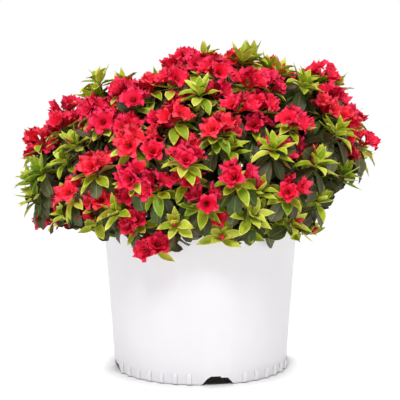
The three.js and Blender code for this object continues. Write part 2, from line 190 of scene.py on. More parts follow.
# Each mass's name, azimuth, rise, reach, share of the reach left lower down, and share of shoots in flower.
MASS_TABLE = [
    ("right", 0, 11, 206, 0.7, 0.5),
    ("back_right", 45, 1, 184, 0.85, 0.5),
    ("back", 90, -2, 174, 0.9, 0.6),
    ("back_left", 135, -1, 182, 0.9, 0.5),
    ("left", 180, 3, 199, 0.95, 0.6),
    ("front_left", 225, -4, 180, 0.88, 0.6),
    ("front", 270, -6, 162, 0.9, 0.7),
    ("front_right", 315, -3, 170, 0.85, 0.4),
    ("upper_right", 352, 41, 182, 1, 0.5),
    ("upper_back_right", 62, 38, 162, 1, 0.7),
    ("upper_back_left", 134, 35, 150, 1.05, 0.6),
    ("upper_left", 206, 33, 150, 1.1, 0.9),
    ("upper_front", 278, 36, 150, 1, 0.7),
    ("top", 10, 78, 140, 1, 0.7),
]

# Drifts of blossom and of plain green: azimuth, rise, how wide in degrees, and the share in flower.
DRIFTS = [
    (209, 36, 14, 1.0), (239, 44, 15, 1.0), (300, 80, 13, 0.9), (307, 60, 10, 0.1), (320, 46, 8, 1.0),
    (350, 43, 9, 0.9), (318, 31, 8, 0.0), (340, 26, 8, 1.0), (344, 11, 11, 1.0), (332, 0, 9, 0.1),
    (183, 21, 10, 0.9), (198, 5, 8, 0.8), (210, 11, 7, 0.1), (187, 34, 7, 0.1), (229, 18, 8, 0.9),
    (239, 10, 7, 0.1), (256, 18, 9, 1.0), (262, 37, 8, 0.1), (285, 34, 12, 1.0), (305, 22, 10, 1.0),
    (278, 15, 7, 0.05), (294, 10, 10, 0.0), (319, 17, 6, 1.0), (290, -3, 9, 0.1), (228, -5, 7, 0.9),
    (206, -12, 8, 0.2), (256, 1, 10, 0.8), (277, 0, 6, 0.9), (309, -6, 8, 0.9), (242, -21, 7, 1.0),
    (264, -15, 7, 0.7), (297, -18, 10, 0.1), (246, 28, 9, 1.0),
]

# -------------------- small helpers


def seeded(seed):
    """A repeatable stream of numbers from 0 to 1."""
    state = ((seed + 1) * 2654435761) & 0xFFFFFFFF

    def draw():
        nonlocal state
        state = (state * 1664525 + 1013904223) & 0xFFFFFFFF
        return state / 2**32

    return draw


def clamp(value, low, high):
    return max(low, min(high, value))


def heading(azimuth, rise):
    """The direction with this azimuth and rise."""
    level = cos(radians(rise))
    turn = radians(azimuth)
    return Vector((level * cos(turn), level * sin(turn), sin(radians(rise))))


def across(direction):
    """Two unit vectors across a direction."""
    other = UP if abs(direction.z) < 0.9 else Vector((1, 0, 0))
    side = other.cross(direction).normalized()
    return side, direction.cross(side)


def leaning(axis, lean, turn):
    """The direction that leans away from an axis by an angle, turned round the axis."""
    side, front = across(axis)
    return axis * cos(lean) + (side * cos(turn) + front * sin(turn)) * sin(lean)


def ripple(x, y, z):
    """Smooth noise from -1 to 1 at a place."""
    return noise.noise(Vector((x, y, z)))


def srgb(red, green, blue):
    """A colour given as it looks on a screen, 0 to 255, as the linear value that shaders take."""
    parts = []
    for value in (red, green, blue):
        share = value / 255
        parts.append(share / 12.92 if share <= 0.04045 else ((share + 0.055) / 1.055) ** 2.4)
    return (*parts, 1.0)


class Way:
    """A smooth way through space, measured along its length."""

    def __init__(self, points):
        self.points = points
        self.marks = [0.0]
        for a, b in zip(points, points[1:]):
            self.marks.append(self.marks[-1] + (b - a).length)
        self.length = self.marks[-1]

    def _span(self, share):
        """The stretch between two points that a share of the length falls in, and how far along it."""
        mark = clamp(share, 0, 1) * self.length
        low = int(np.searchsorted(self.marks, mark, side="right")) - 1
        low = min(max(low, 0), len(self.points) - 2)
        return low, (mark - self.marks[low]) / max(self.marks[low + 1] - self.marks[low], 1e-9)

    def at(self, share):
        low, part = self._span(share)
        return self.points[low].lerp(self.points[low + 1], part)

    def along(self, share):
        low, _ = self._span(share)
        return (self.points[low + 1] - self.points[low]).normalized()


def bend(start, leave, end, arrive, pull=0.36):
    """A way that leaves one point in one direction and reaches another in another."""
    length = (end - start).length * pull
    a, b = start + leave * length, end - arrive * length
    steps = 24
    points = []
    for i in range(steps + 1):
        t = i / steps
        s = 1 - t
        points.append(start * s**3 + a * (3 * s * s * t) + b * (3 * s * t * t) + end * t**3)
    return Way(points)


def straight(start, end):
    return Way([start, end])


# -------------------- the growth rule


def pot_radius(z):
    """The pot's outer radius at a height, or at each of an array of heights."""
    under_lip = POT_HEIGHT - POT_LIP_HEIGHT
    wall = POT_FOOT_RADIUS + np.clip(z / under_lip, 0, 1) * (POT_WALL_TOP_RADIUS - POT_FOOT_RADIUS)
    return np.where(z > under_lip - 1, POT_LIP_RADIUS, wall)


class Mass:
    """One mass of foliage: where it lies round the heart of the plant, and how far it reaches."""

    def __init__(self, index, name, azimuth, rise, reach, under, bloom):
        self.index, self.name = index, name
        self.azimuth, self.rise, self.reach, self.under, self.bloom = azimuth, rise, reach, under, bloom
        self.axis = heading(azimuth, rise)
        self.seed = 40 + 3 * index
        self.foot = HEART + self.axis * (reach * LIMB_SHARE)
        self.hub = HEART + self.axis * (reach * HUB_SHARE)


masses = [Mass(index, *row) for index, row in enumerate(MASS_TABLE)]


def reach_along(direction):
    """How far the shoot tips stand from the heart in a direction: a blend of the masses' reaches."""
    rise = degrees(asin(clamp(direction.z, -1, 1)))
    total = weights = 0
    for mass in masses:
        below = clamp((mass.rise - rise) / UNDER_SPAN, 0, 1.2)
        weight = exp(REACH_SHARPNESS * (direction.dot(mass.axis) - 1))
        total += weight * mass.reach * (1 - (1 - mass.under) * below)
        weights += weight
    return total / weights


def skirt_at(x, y):
    """The height that the foliage hangs down to on this side of the pot."""
    turn = (degrees(atan2(y, x)) % 360) / 360 * len(SKIRT)
    side = int(turn)
    part = turn - side
    level = SKIRT[side % len(SKIRT)] * (1 - part) + SKIRT[(side + 1) % len(SKIRT)] * part
    level += (RAISED_SKIRT - level) * clamp((x - RAISED_FROM) / (RAISED_TO - RAISED_FROM), 0, 1)
    return level + SKIRT_WAVE * ripple(x * 0.035, y * 0.035, 5)


def under_crown(point):
    """A tip drawn in towards the heart until what it carries stays under the crown's line."""
    places, heights = zip(*CROWN_LINE)
    for share in DRAWN_IN:
        drawn = HEART.lerp(point, share)
        if drawn.z <= float(np.interp(drawn.x, places, heights)) - TRUSS_HEIGHT:
            break
    return drawn


def bloom_share(direction, mass):
    """The share of shoots in flower in a direction: the nearest drift's, or else the mass's own."""
    near = [
        (direction.angle(heading(azimuth, rise)) / radians(spread), share)
        for azimuth, rise, spread, share in DRIFTS
    ]
    apart, share = min(near)
    return share if apart < 1 else mass.bloom


def clear_of_pot(point, margin):
    """Whether a point lies this far outside the pot."""
    radius = hypot(point.x, point.y)
    return not (point.z < POT_HEIGHT + margin and radius < pot_radius(point.z) + margin)


def in_space(mass, point, margin):
    """Whether a point is in a mass's own space, clear of the limbs' ball and of the pot."""
    if (point - HEART).length < mass.reach * LIMB_SHARE + margin - 1:
        return False
    if not clear_of_pot(point, POT_GAP + margin):
        return False
    for other in masses:
        if other is mass:
            continue
        apart = other.axis - mass.axis
        if (point - HEART).dot(apart) / apart.length >= -margin:
            return False
    return True


def spiral(count, first_turn):
    """Directions of a sunflower spiral, spread evenly round a ball from the top down."""
    for i in range(count):
        height = 1 - (2 * i + 1) / count
        level = sqrt(1 - height * height)
        turn = i * GOLDEN_ANGLE + first_turn
        yield Vector((level * cos(turn), level * sin(turn), height))


def nearest_mass(direction):
    """The mass that a direction belongs to."""
    return max(masses, key=lambda mass: direction.dot(mass.axis))


class Tip:
    """The end of a shoot: its place, its facing, whether it is in flower and how fully, and its order."""

    def __init__(self, point, facing, mass, blooms, order):
        self.point, self.facing, self.blooms, self.order = point, facing, blooms, order
        self.full = bloom_share((point - HEART).normalized(), mass) > FULL_BLOOM


def shoot_tips(mass):
    """The ends of a mass's first shoots, spread evenly over its share of the crown."""
    draw = seeded(mass.seed)
    ends = []
    for direction in spiral(SHOOTS_ROUND, SHOOTS_FIRST_TURN):
        if nearest_mass(direction) is not mass or direction.z < sin(radians(SHOOTS_LOWEST)):
            continue
        direction = direction.lerp(mass.axis, SHOOTS_GATHER).normalized()
        sideways = Vector((draw() - 0.5, draw() - 0.5, draw() - 0.5))
        point = under_crown(HEART + direction * (reach_along(direction) * (1.03 - 0.08 * draw())))
        facing = (direction + UP * UPTURN + sideways * 0.5).normalized()
        ends.append(Tip(point, facing, mass, draw() < bloom_share(direction, mass), 1))
    return ends


def best_node(nodes, target, shortest):
    """The node on the wood so far that suits a tip best: a near one that already points its way."""
    too_near = 1000

    def cost(node):
        way = target - node[0]
        length = way.length
        turn_away = 1 - way.normalized().dot(node[1])
        return length * (1 + 1.2 * turn_away) + (too_near if length < shortest else 0)

    return min(nodes, key=cost)


class Growth:
    """Twigs, each as way, radii and order from the stem, nodes that others may leave from, and tips."""

    def __init__(self):
        self.woods, self.nodes, self.tips = [], [], []

    def way_to(self, point, facing, shortest):
        """A twig's way to a tip from the node that suits it best."""
        foot, leave = best_node(self.nodes, point, shortest)
        return bend(foot - leave * SUNK, leave, point, facing)

    def add(self, way, radii, order, shares, tip):
        self.woods.append((way, radii, order))
        self.nodes += [(way.at(share), way.along(share)) for share in shares]
        self.tips.append(tip)

    def join(self, other):
        self.woods += other.woods
        self.nodes += other.nodes
        self.tips += other.tips


def first_growth(mass):
    """A mass's stem and first twigs, as the source grows them."""
    draw = seeded(mass.seed + 500)
    growth = Growth()
    growth.woods = [(straight(mass.foot, mass.hub), STEM_RADII, 0)]
    growth.nodes = [(mass.foot.lerp(mass.hub, share), mass.axis) for share in (0.5, 0.75, 0.97)]
    margin = TWIG_RADII[0] + SPACE_MARGIN
    for tip in shoot_tips(mass):
        point, direction = best_node(growth.nodes, tip.point, SHORTEST_TWIG)
        ways = [
            bend(point - direction * (SUNK + draw()), direction, tip.point, tip.facing),
            straight(mass.hub - mass.axis * (1 + draw()), tip.point),
        ]
        draw()  # the source draws the twig's own turn here
        for way in ways:
            if all(in_space(mass, way.at(i / 8), margin) for i in range(9)):
                break
        else:
            continue
        if tip.point.z >= skirt_at(tip.point.x, tip.point.y) + TIP_OVER_SKIRT:
            growth.add(way, TWIG_RADII, 1, (0.45, 0.7), tip)
    return growth


def grow_finer(round_count, first_turn, depth, spacing, rises, order, seed):
    """The same rule carried on: more tips inside the same reach, each on a twig from the nearest wood."""
    draw = seeded(seed)
    lowest, highest = (sin(radians(rise)) for rise in rises)
    for direction in spiral(round_count, first_turn):
        if not lowest <= direction.z <= highest:
            continue
        sideways = Vector((draw() - 0.5, draw() - 0.5, draw() - 0.5))
        direction = (direction + sideways * 0.08).normalized()
        share = depth[0] + (depth[1] - depth[0]) * draw()
        mass = nearest_mass(direction)
        blooms = draw() < bloom_share(direction, mass)
        point = under_crown(HEART + direction * (reach_along(direction) * share))
        facing = (direction + UP * UPTURN + sideways * 0.7).normalized()
        if point.z < skirt_at(point.x, point.y) + FINE_TIP_OVER_SKIRT:
            continue
        apart = spacing * (0.8 if bloom_share(direction, mass) > FULL_BLOOM else 1)
        crowded = any((point - tip.point).length < apart for tip in shrub.tips)
        if crowded or not clear_of_pot(point, FINE_TIP_TO_POT):
            continue
        way = shrub.way_to(point, facing, SHORTEST_FINE_TWIG)
        if all(clear_of_pot(way.at(i / 8), FINE_TWIG_TO_POT) for i in range(9)):
            shrub.add(way, FINE_TWIG_RADII, order, (0.5, 0.75), Tip(point, facing, mass, blooms, order))


def grow_long(shoots):
    """Single shoots that stand out beyond the rest, each on a twig from the nearest wood."""
    for azimuth, rise, share, blooms in shoots:
        direction = heading(azimuth, rise)
        point = HEART + direction * (reach_along(direction) * share)
        facing = (direction + UP * LONG_UPTURN).normalized()
        way = shrub.way_to(point, facing, SHORTEST_TWIG)
        shrub.add(way, TWIG_RADII, 1, (0.45, 0.7), Tip(point, facing, nearest_mass(direction), blooms, 1))


shrub = Growth()
for mass in masses:
    shrub.join(first_growth(mass))
grow_long(EARLY_LONG_SHOOTS)
for row in FINER_SHOOTS:
    grow_finer(*row)
grow_long(LATE_LONG_SHOOTS)

# -------------------- joined meshes of small things


def shape_of(bm):
    """A shape as arrays of points, three-cornered faces and the finish of each face."""
    bmesh.ops.remove_doubles(bm, verts=bm.verts[:], dist=1e-4)
    bmesh.ops.triangulate(bm, faces=bm.faces[:])
    bm.verts.index_update()
    points = np.array([v.co[:] for v in bm.verts])
    faces = np.array([[v.index for v in f.verts] for f in bm.faces])
    finishes = np.array([f.material_index for f in bm.faces])
    bm.free()
    return points, faces, finishes


class Joined:
    """Many placed copies of small shapes that become one mesh."""

    def __init__(self):
        self.points, self.faces, self.finishes, self.count = [], [], [], 0

    def add(self, shape, points, finish_shift=0):
        _, faces, finishes = shape
        self.points.append(points)
        self.faces.append(faces + self.count)
        self.finishes.append(finishes + finish_shift)
        self.count += len(points)

    def as_shape(self):
        return np.concatenate(self.points), np.concatenate(self.faces), np.concatenate(self.finishes)

    def finish(self, name, materials, slot, replaced):
        points, faces, finishes = self.as_shape()
        mesh = bpy.data.meshes.new(name)
        mesh.from_pydata((points * MM).tolist(), [], faces.tolist())
        for material in materials:
            mesh.materials.append(material)
        mesh.polygons.foreach_set("material_index", finishes.astype(np.int32))
        mesh.polygons.foreach_set("use_smooth", np.ones(len(faces), bool))
        mesh.update()
        add_piece(name, mesh, replaced)


def in_scene(name, data):
    """A new object in the scene."""
    made = bpy.data.objects.new(name, data)
    bpy.context.scene.collection.objects.link(made)
    return made


def add_piece(name, mesh, replaced):
    """Puts a mesh in the scene as a piece that rides on the plant's one body."""
    piece = in_scene(name, mesh)
    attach(piece, "root")
    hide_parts(*replaced)


def placed(shape, side, upper, outward, root, scale):
    """A shape's points with its X, Y and Z turned to three directions and moved to a root."""
    basis = np.array([side, upper, outward]) * np.array(scale)[:, None]
    return shape[0] @ basis + np.array(root)


def clears_pot(points, margin=1.0):
    """Whether all points of a placed shape keep clear of the pot and above the foliage's skirt."""
    z = points[:, 2]
    lowest = points[np.argmin(z)]
    if lowest[2] < skirt_at(lowest[0], lowest[1]):
        return False
    radius = np.hypot(points[:, 0], points[:, 1])
    return not np.any((z < POT_HEIGHT + margin) & (radius < pot_radius(z) + margin))


def turned(bm, verts, azimuth):
    """Turns vertices round the Z axis by an angle in degrees."""
    spin = Matrix.Rotation(radians(azimuth), 3, "Z")
    bmesh.ops.rotate(bm, cent=(0, 0, 0), matrix=spin, verts=verts)


def mesh_in_metres(bm, name):
    """The mesh, in metres, of a shape in millimetres."""
    bmesh.ops.scale(bm, vec=(MM, MM, MM), verts=bm.verts[:])
    mesh = bpy.data.meshes.new(name)
    bm.to_mesh(mesh)
    bm.free()
    return mesh


# -------------------- leaf, blossom and bud shapes

# Where a leaf's columns of points lie across it, from -1 to 1: a new leaf has edges, an old one a rib.
NEW_LEAF_COLUMNS = (-1, -0.76, 0, 0.76, 1)
OLD_LEAF_COLUMNS = (-1, -0.07, 0.07, 1)
LEAF_ROWS = 6

# Length, width, where it is widest, how pointed its end is, fold, curl and wave.
NEW_LEAVES = [
    (25, 10.2, 0.46, 1.05, 0.42, 0.5, 0.3),
    (24.5, 10.8, 0.48, 1.0, 0.5, 0.85, 0.5),
    (26, 9.6, 0.45, 1.1, 0.35, -0.3, 0.3),
    (23, 10.6, 0.47, 1.0, 0.3, 0.2, 0.6),
]
OLD_LEAVES = [
    (27.5, 15.8, 0.58, 0.5, 0.22, 0.5, 0.4),
    (28.5, 14.8, 0.6, 0.5, 0.32, 0.85, 0.3),
    (26.5, 16.4, 0.56, 0.52, 0.16, 0.25, 0.5),
    (28.5, 14.2, 0.58, 0.54, 0.36, 1.1, 0.3),
]

# How far each blossom opens, in degrees, and whether it has a second whorl.
BLOSSOMS = [(78, True), (92, False), (64, True), (84, True), (52, False), (96, True)]

# The share of a petal that is tube, how far the tube leans out, and the steps of a petal's profile.
TUBE = 0.3
TUBE_LEAN = radians(7)
PETAL_STEPS = 24

# Radius and height of a closed bud, and the height that its scales reach.
BUD_PROFILE = [(0, 0), (1.9, 1.5), (2.6, 5), (3.4, 9), (2.9, 13), (1.5, 16.5), (0, 18.5)]
BUD_SCALES = 3.5


def leaf_shape(columns, length, width, widest, point, fold, curl, wave):
    """A leaf along +Z with its upper side to +Y, folded along its midrib and curled to its tip. The second
    finish is the edge and tip of a new leaf, or the midrib of an old one."""
    edged = columns is NEW_LEAF_COLUMNS
    bm = bmesh.new()
    bmesh.ops.create_grid(bm, x_segments=len(columns) - 1, y_segments=LEAF_ROWS, size=0.5)
    column_of = {}
    for vert in bm.verts:
        column = round((vert.co.x + 0.5) * (len(columns) - 1))
        column_of[vert] = column
        over, share = columns[column], (vert.co.y + 0.5) ** (0.92 if edged else 0.8)
        if share < widest:
            half = sin(pi / 2 * share / widest) ** 0.85
        else:
            half = cos(pi / 2 * (share - widest) / (1 - widest)) ** point
        half = max(half, 0.09 if share < 0.5 else 0) * width / 2
        angle = curl * share
        along = length * sin(angle) / curl
        drop = length * (1 - cos(angle)) / curl
        lift = abs(over) * half * fold + wave * abs(over) * sin(share * 11 + 2 * over)
        vert.co = (over * half, lift * cos(angle) - drop, along + lift * sin(angle))
    for face in bm.faces:
        column = min(column_of[vert] for vert in face.verts)
        if edged:
            second = column in (0, 3) or face.calc_center_median().z > 0.84 * length
        else:
            second = column == 1
        face.material_index = 1 if second else 0
    if sum(face.normal.y for face in bm.faces) < 0:
        bmesh.ops.reverse_faces(bm, faces=bm.faces[:])
    return shape_of(bm)


def petal_profile(length, flare, droop):
    """Radius and height along a petal, from the tube's foot to its end, which leans out by its flare."""
    radius, height, profile = 1.0, 0.0, [(1.0, 0.0)]
    for i in range(PETAL_STEPS):
        share = (i + 0.5) / PETAL_STEPS
        lean = TUBE_LEAN + (flare - TUBE_LEAN) * clamp((share - TUBE) / (1 - TUBE), 0, 1) ** 0.8
        lean += droop * clamp((share - 0.75) * 4, 0, 1)
        radius += sin(lean) * length / PETAL_STEPS
        height += cos(lean) * length / PETAL_STEPS
        profile.append((radius, height))
    return profile


def add_petal(bm, length, width, flare, seed, columns, rows, droop):
    """One petal from the tube's foot at the origin, up +Z and out along +X, ruffled at its end."""
    made = bmesh.ops.create_grid(bm, x_segments=columns, y_segments=rows, size=0.5)["verts"]
    profile = petal_profile(length, flare, droop)
    shares = {}
    for vert in made:
        over, share = vert.co.x * 2, vert.co.y + 0.5
        shares[vert] = share
        place = share * PETAL_STEPS
        low = min(int(place), PETAL_STEPS - 1)
        part = place - low
        radius = profile[low][0] * (1 - part) + profile[low + 1][0] * part
        height = profile[low][1] * (1 - part) + profile[low + 1][1] * part
        if share < TUBE:
            half = max(radius, 1.0) * pi / 5 * 1.12
        else:
            bulge = (share - TUBE) / (1 - TUBE)
            lobe = width / 2 * sin(pi * (0.12 + 0.7 * bulge)) * min(1, bulge * 1.5 + 0.2)
            half = radius * pi / 5 * 1.12 * (1 - bulge) ** 2 + lobe
        radius *= 1 - over**4 * 0.3 * clamp((share - 0.5) * 2, 0, 1)
        bow = radius if share < TUBE else radius + 22 * (share - TUBE)
        turn = over * half / max(bow, 1)
        ruffle = 3.7 * clamp((share - 0.45) * 1.8, 0, 1) ** 1.2
        wave = ripple(over * 1.9 + seed, share * 2.2, seed * 3.1) * 2
        vert.co = (
            radius - bow * (1 - cos(turn)),
            bow * sin(turn),
            height + ruffle * (sin(over * 6.2 + seed) * 0.5 + wave),
        )
    for face in {face for vert in made for face in vert.link_faces}:
        middle = sum(shares[vert] for vert in face.verts) / 4
        # The throat's finish is painted shade, and that of the petal's end a painted highlight.
        face.material_index = 0 if middle < 0.46 else 1 if middle < 0.82 else 2
    return made


def blossom_shape(seed, openness, doubled):
    """A ruffled five-lobed blossom from the foot of its tube at the origin, opening along +Z. Its throat,
    painted darker as shade in the funnel, its lobes, and their edges, painted lighter as a highlight, are
    three finishes."""
    draw = seeded(9000 + seed)
    bm = bmesh.new()
    opening = radians(openness)
    whorls = [(5, 27, 17.5, opening, 0.0, 6, 6)]
    if doubled:
        whorls.append((4, 22, 13.5, opening * 0.6, pi / 5, 4, 5))
    for count, length, width, flare, first, columns, rows in whorls:
        for k in range(count):
            size = 0.93 + 0.14 * draw()
            own_flare, petal_seed = flare * (0.86 + 0.28 * draw()), 17.3 * draw()
            droop = radians(30) * draw()
            made = add_petal(bm, length * size, width, own_flare, petal_seed, columns, rows, droop)
            turn = first + k * 2 * pi / count + 0.16 * (draw() - 0.5)
            bmesh.ops.rotate(bm, cent=(0, 0, 0), matrix=Matrix.Rotation(turn, 3, "Z"), verts=made)
    return shape_of(bm)


def spun(bm, profile, steps):
    """Turns a profile of radii and heights about the Z axis into a surface."""
    verts = [bm.verts.new((radius, 0, z)) for radius, z in profile]
    edges = [bm.edges.new(pair) for pair in zip(verts, verts[1:])]
    bmesh.ops.spin(
        bm, geom=verts + edges, cent=(0, 0, 0), axis=(0, 0, 1), dvec=(0, 0, 0),
        angle=2 * pi, steps=steps, use_merge=True, use_normal_flip=False, use_duplicate=False,
    )
    bmesh.ops.remove_doubles(bm, verts=bm.verts[:], dist=1e-5)
    bmesh.ops.recalc_face_normals(bm, faces=bm.faces[:])


def bud_shape():
    """A closed, pointed bud along +Z. Its scales and its petals are two finishes."""
    bm = bmesh.new()
    spun(bm, BUD_PROFILE, 7)
    for face in bm.faces:
        face.material_index = 1 if face.calc_center_median().z > BUD_SCALES else 0
    return shape_of(bm)


def swept(way, foot_radius, tip_radius, sides, steps, relief=0.0, seed=0.0, closed=True):
    """A tapering limb along a way. Relief gives it lengthwise ridges of bark."""
    points, faces = [], []
    normal, _ = across(way.along(0))
    for step in range(steps + 1):
        share = step / steps
        centre, direction = way.at(share), way.along(min(share, 0.999))
        normal = (normal - direction * normal.dot(direction)).normalized()
        other = direction.cross(normal)
        radius = foot_radius + (tip_radius - foot_radius) * share
        for side in range(sides):
            turn = 2 * pi * side / sides
            x, y, z = cos(turn), sin(turn), share * way.length
            bump = 1.0
            if relief:
                ridge = ripple(x * 1.7 + seed, y * 1.7, z * 0.05)
                fine = ripple(x * 5 + seed, y * 5, z * 0.25)
                bump += relief * (ridge + 0.5 * fine)
            points.append(centre + (normal * x + other * y) * (radius * bump))
    for step in range(steps):
        for side in range(sides):
            a = step * sides + side
            b = step * sides + (side + 1) % sides
            faces += [(a, b, b + sides), (a, b + sides, a + sides)]
    if closed:
        points += [way.at(0), way.at(1)]
        last = steps * sides
        for side in range(sides):
            faces.append((side, len(points) - 2, (side + 1) % sides))
            faces.append((last + side, last + (side + 1) % sides, len(points) - 1))
    points = np.array([p[:] for p in points])
    return points, np.array(faces), np.zeros(len(faces), int)


def stamen_shape(seed):
    """A brush of thin curved stamens with their anthers, and a longer pistil, along +Z."""
    draw = seeded(400 + seed)
    joined = Joined()
    for k in range(5):
        lean = radians(6 + 12 * draw())
        turn = k * 2 * pi / 5 + draw()
        reach = 24 if k == 0 else 17 + 5 * draw()
        outward = Vector((sin(lean) * cos(turn), sin(lean) * sin(turn), cos(lean)))
        end = outward * reach + Vector((1.5, 0, 0))
        way = bend(Vector((0, 0, 2)), UP, end, outward)
        filament = swept(way, 0.28, 0.22, 3, 3, closed=False)
        joined.add(filament, filament[0])
        bm = bmesh.new()
        bmesh.ops.create_uvsphere(bm, u_segments=4, v_segments=2, radius=0.5)
        bmesh.ops.translate(bm, vec=end, verts=bm.verts[:])
        anther = shape_of(bm)
        joined.add(anther, anther[0], 1)
    return joined.as_shape()


# -------------------- finishes


def new_material(name):
    """A material, its node tree and its shader."""
    material = bpy.data.materials.new(name)
    material.use_nodes = True
    return material, material.node_tree, material.node_tree.nodes["Principled BSDF"]


def fill(tree, made, inputs):
    """Sets a node's inputs, each to a value or to what another node gives."""
    for name, given in inputs.items():
        if isinstance(given, bpy.types.NodeSocket):
            tree.links.new(given, made.inputs[name])
        else:
            made.inputs[name].default_value = given
    return made


def node(tree, kind, inputs=None, output=None):
    """A new node with its inputs filled, or the output that is asked for."""
    made = fill(tree, tree.nodes.new(f"ShaderNode{kind}"), inputs or {})
    return made.outputs[output] if output else made


def bumped(tree, height, strength, distance):
    """The normal of a bump."""
    return node(tree, "Bump", {"Height": height, "Strength": strength, "Distance": distance}, "Normal")


def toned(tree, share, *stops):
    """The colour of a ramp between two stops, each a position and a colour."""
    ramp = node(tree, "ValToRGB", {"Fac": share})
    for element, (position, colour) in zip(ramp.color_ramp.elements, stops):
        element.position = position
        element.color = srgb(*colour)
    return ramp.outputs["Color"]


def mottle_group():
    """A shared effect: soft mottling between two colours, with a height for the bump that goes with it."""
    group = bpy.data.node_groups.new("soft mottling", "ShaderNodeTree")
    for name, way, kind in (
        ("Colour one", "INPUT", "Color"), ("Colour two", "INPUT", "Color"), ("Grain", "INPUT", "Float"),
        ("Colour", "OUTPUT", "Color"), ("Height", "OUTPUT", "Float"),
    ):
        group.interface.new_socket(name, in_out=way, socket_type=f"NodeSocket{kind}")
    start, end = group.nodes.new("NodeGroupInput"), group.nodes.new("NodeGroupOutput")
    place = node(group, "TexCoord", output="Object")
    scale = start.outputs["Grain"]
    cloud = node(group, "TexNoise", {"Vector": place, "Scale": scale, "Detail": 3}, "Fac")
    spread = node(group, "MapRange", {"Value": cloud, "From Min": 0.32, "From Max": 0.68}, "Result")
    mix = node(group, "Mix")
    mix.data_type = "RGBA"
    fill(group, mix, {"Factor": spread, "A": start.outputs["Colour one"], "B": start.outputs["Colour two"]})
    fill(group, end, {"Colour": mix.outputs["Result"], "Height": cloud})
    return group


SOFT_MOTTLING = mottle_group()
FINE_BUMP = 0.001


def finish(name, one, two, grain, roughness, bump=0.0, specular=0.5):
    """A finish whose colour wanders between two tones, with a soft bump of the same grain."""
    material, tree, shader = new_material(name)
    mottling = node(tree, "Group")
    mottling.node_tree = SOFT_MOTTLING
    fill(tree, mottling, {"Colour one": srgb(*one), "Colour two": srgb(*two), "Grain": grain})
    colour = srgb(*one) if one == two else mottling.outputs["Colour"]
    fill(tree, shader, {"Base Color": colour, "Roughness": roughness, "Specular IOR Level": specular})
    if bump:
        fill(tree, shader, {"Normal": bumped(tree, mottling.outputs["Height"], bump, FINE_BUMP)})
    return material


new_leaf_finishes = []
for tone, (one, two, edge_one, edge_two) in enumerate([
    ((154, 181, 30), (184, 202, 50), (212, 213, 72), (229, 214, 104)),
    ((128, 162, 24), (162, 185, 40), (196, 202, 54), (216, 202, 86)),
    ((187, 203, 58), (210, 217, 80), (228, 224, 104), (238, 228, 136)),
    ((98, 135, 24), (129, 159, 38), (159, 181, 44), (185, 197, 72)),
]):
    new_leaf_finishes += [
        finish(f"new leaf {tone}", one, two, 190, 0.5, 0.25, 0.28),
        finish(f"new leaf edge {tone}", edge_one, edge_two, 190, 0.5, 0.2, 0.28),
    ]

old_leaf_finishes = []
for tone, (one, two, rib) in enumerate([
    ((71, 75, 42), (88, 90, 54), (116, 116, 78)),
    ((55, 61, 32), (72, 77, 42), (98, 100, 62)),
    ((88, 90, 60), (106, 106, 75), (134, 132, 100)),
    ((68, 63, 38), (88, 80, 50), (114, 98, 66)),
    ((60, 80, 32), (82, 102, 42), (118, 132, 66)),
]):
    old_leaf_finishes += [
        finish(f"old leaf {tone}", one, two, 150, 0.48, 0.35, 0.32),
        finish(f"old leaf rib {tone}", rib, rib, 150, 0.5, 0.2, 0.3),
    ]

# Each tone's throat is painted darker as shade in the funnel, and its rim painted lighter as a highlight.
petal_finishes = []
for tone, (shaded_throat, lobe, highlit_rim) in enumerate([
    ((186, 4, 24), (228, 18, 54), (245, 54, 90)),
    ((170, 4, 26), (218, 16, 56), (240, 52, 94)),
    ((194, 6, 24), (232, 24, 50), (248, 68, 88)),
    # The darkest tone is painted shade, for trusses low on the crown.
    ((152, 2, 24), (202, 12, 46), (228, 42, 76)),
]):
    for part, colour in (("shaded_throat", shaded_throat), ("lobe", lobe), ("highlit_rim", highlit_rim)):
        lighter = [min(255, round(value * 1.05 + 3)) for value in colour]
        petal_finishes.append(finish(f"petal {part} {tone}", colour, lighter, 240, 0.62, 0.3, 0.16))

stamen_finishes = [
    finish("stamen", (226, 60, 84), (238, 96, 110), 300, 0.5),
    finish("anther", (120, 40, 40), (160, 80, 60), 300, 0.7),
]
bud_finishes = [
    finish("bud scale", (150, 160, 60), (186, 180, 80), 300, 0.5),
    finish("bud petal", (196, 14, 40), (226, 30, 62), 300, 0.5, 0.2),
]
twig_finishes = [
    finish("old twig", (92, 66, 48), (128, 96, 68), 420, 0.8, 0.5),
    finish("young twig", (150, 98, 62), (166, 128, 76), 420, 0.7, 0.4),
]

# -------------------- dressing the shoots

new_leaf_shapes = [leaf_shape(NEW_LEAF_COLUMNS, *row) for row in NEW_LEAVES]
old_leaf_shapes = [leaf_shape(OLD_LEAF_COLUMNS, *row) for row in OLD_LEAVES]
blossom_shapes = [blossom_shape(seed, *row) for seed, row in enumerate(BLOSSOMS, 1)]
stamen_shapes = [stamen_shape(seed) for seed in (1, 2, 3)]
bud = bud_shape()

new_leaves, old_leaves, stamens, buds, twigs, upper_petals, lower_petals = (Joined() for _ in range(7))
new_kind, old_kind = (new_leaves, new_leaf_shapes), (old_leaves, old_leaf_shapes)

# Where the blossoms sit, each with its truss, for leaves and other trusses to keep clear of.
blossom_spots = []

# How large a truss or a rosette on a finer shoot is, beside one on a first shoot.
FINE_SIZE = 0.93

# How many blossoms a truss has, the share of trusses that are large, and that of plain shoots with buds.
SMALL_TRUSS, LARGE_TRUSS, FULL_TRUSS = 3, 4, 5
LARGE_TRUSS_SHARE = 0.4
BUDS_SHARE = 0.3

# How many new leaves a rosette has under full bloom, under other blossom and without any.
ROSETTE_FULL, ROSETTE_BLOOM, ROSETTE_PLAIN = 7, 11, 14

# The older leaves along a twig: from which share of it, how far short of its end, and how far apart.
TWIG_LEAVES_FROM = 0.3
TWIG_LEAVES_END = 9
TWIG_LEAVES_STEP = 8.5


def pick(draw, things):
    return things[int(draw() * len(things))]


